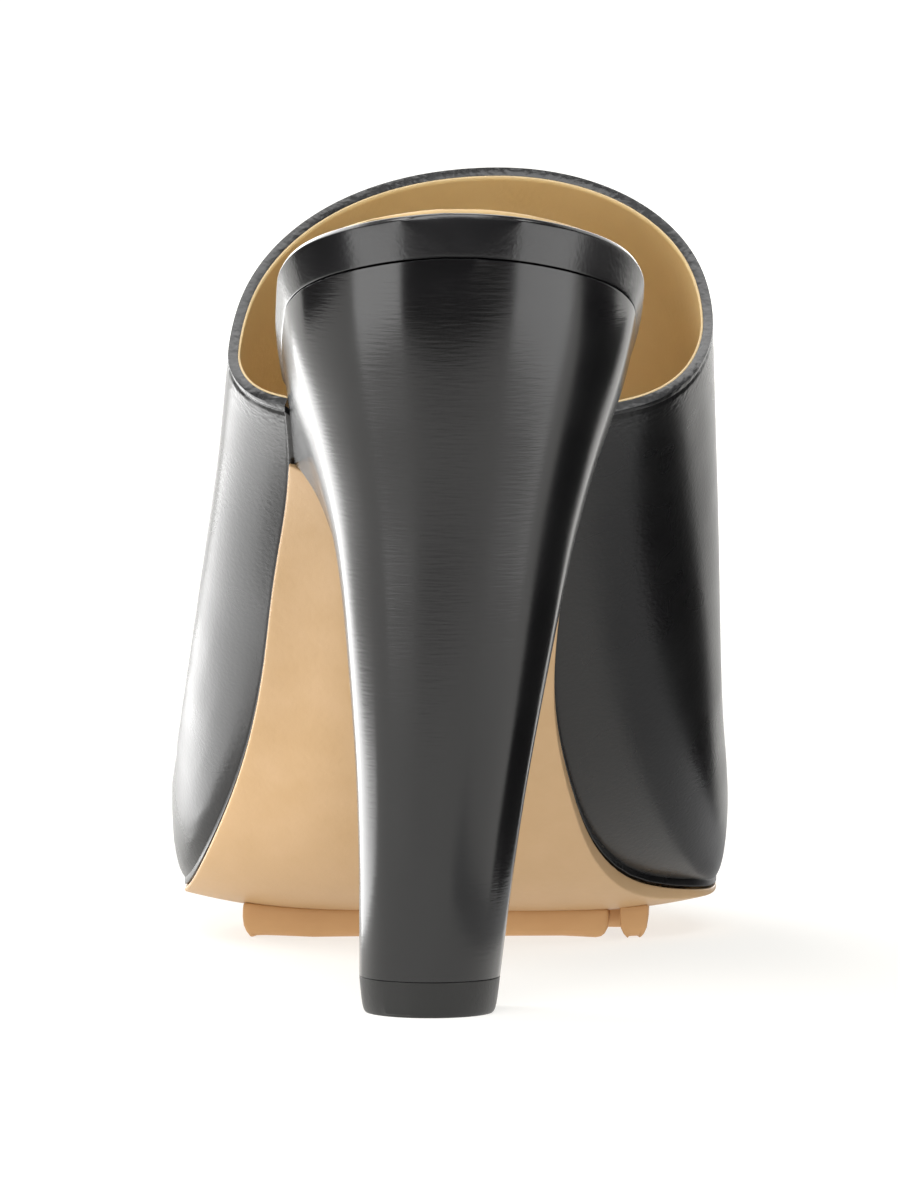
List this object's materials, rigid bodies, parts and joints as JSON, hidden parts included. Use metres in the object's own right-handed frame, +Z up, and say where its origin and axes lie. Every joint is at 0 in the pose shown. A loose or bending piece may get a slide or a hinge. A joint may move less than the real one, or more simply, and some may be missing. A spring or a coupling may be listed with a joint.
{
  "type": "high-heeled open-back mule",
  "caption": "High-heeled mule for a left foot: covered round toe, open back, tall tapered heel, leather sole and rubber tread pads.",
  "frame": {"origin": "on the floor, under the middle of the shoe's bounding box", "axes": "+Z up, +Y towards the toe, +X towards the medial side, where the big toe is"},
  "size_m": [0.084, 0.2124, 0.1188],
  "materials": {
    "black_leather": "smooth, soft gloss",
    "black_heel_cover": "smooth, soft gloss",
    "tan_sock": "matt lining leather",
    "tan_sole": "natural sole leather",
    "brown_rubber": "matt",
    "black_rubber": "matt"
  },
  "bodies": {
    "root": {"upper": "black_leather", "insole": "black_leather", "sock": "tan_sock", "rand": "black_leather", "outsole": "tan_sole", "heel": "black_heel_cover", "top_lift": "black_rubber", "pad_lateral": "brown_rubber", "pad_medial": "brown_rubber", "pad_medial_small": "brown_rubber", "pad_middle_lateral": "brown_rubber", "pad_middle_medial": "brown_rubber", "pad_front": "brown_rubber"}
  },
  "joints": []
}
